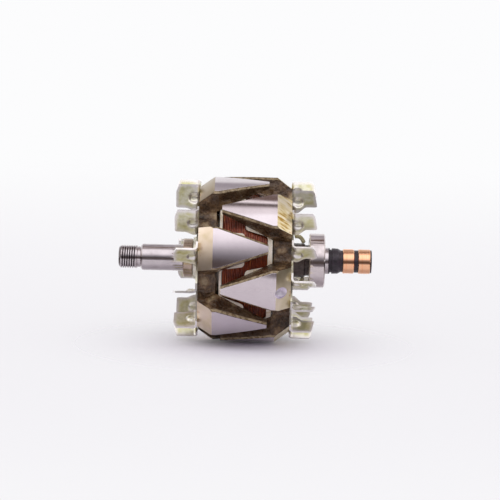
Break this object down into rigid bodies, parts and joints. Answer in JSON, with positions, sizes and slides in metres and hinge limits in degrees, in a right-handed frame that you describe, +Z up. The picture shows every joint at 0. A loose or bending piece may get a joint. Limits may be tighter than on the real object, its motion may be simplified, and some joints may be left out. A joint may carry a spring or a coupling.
{
  "type": "alternator rotor",
  "caption": "Claw-pole alternator rotor with threaded shaft end, two sheet fans, field coil, rear ball bearing and copper slip rings.",
  "frame": {"origin": "on the shaft axis, at the front bearing shoulder (front face of the front collar)", "axes": "+X along the shaft towards the slip rings, +Z up, -Y towards the camera of the picture"},
  "size_m": [0.1626, 0.106, 0.106],
  "materials": {
    "shaft_steel": "ground",
    "passivated_sheet": "yellow passivated zinc",
    "pole_iron": "turned face, varnished valleys",
    "bobbin_moulding": "moulded",
    "coil_wire": "enamelled copper wire",
    "dark_moulding": "moulded",
    "lead_sleeve": "woven sleeve",
    "bearing_steel": "ground",
    "cage_steel": "pressed",
    "seal_rubber": "smooth",
    "ring_copper": "turned copper"
  },
  "bodies": {
    "rotor": {"shaft": "shaft_steel", "front_collar": "shaft_steel", "front_fan": "passivated_sheet", "front_pole": "pole_iron", "rear_pole": "pole_iron", "coil_bobbin": "bobbin_moulding", "field_coil": "coil_wire", "rear_fan": "passivated_sheet", "lead_collar": "dark_moulding", "field_lead_a": "lead_sleeve", "field_lead_b": "lead_sleeve", "bearing_inner_ring": "bearing_steel", "bearing_balls": "bearing_steel", "bearing_cage": "cage_steel", "ring_moulding": "dark_moulding", "slip_ring_inner": "ring_copper", "slip_ring_outer": "ring_copper"},
    "bearing_outer": {"bearing_outer_ring": "bearing_steel", "seal_front": "seal_rubber", "seal_rear": "seal_rubber"}
  },
  "joints": [
    {"name": "rear_bearing_spin", "type": "hinge", "parent": "rotor", "child": "bearing_outer", "pos_m": [0.0858, 0, 0], "axis": [1, 0, 0], "continuous": true}
  ]
}
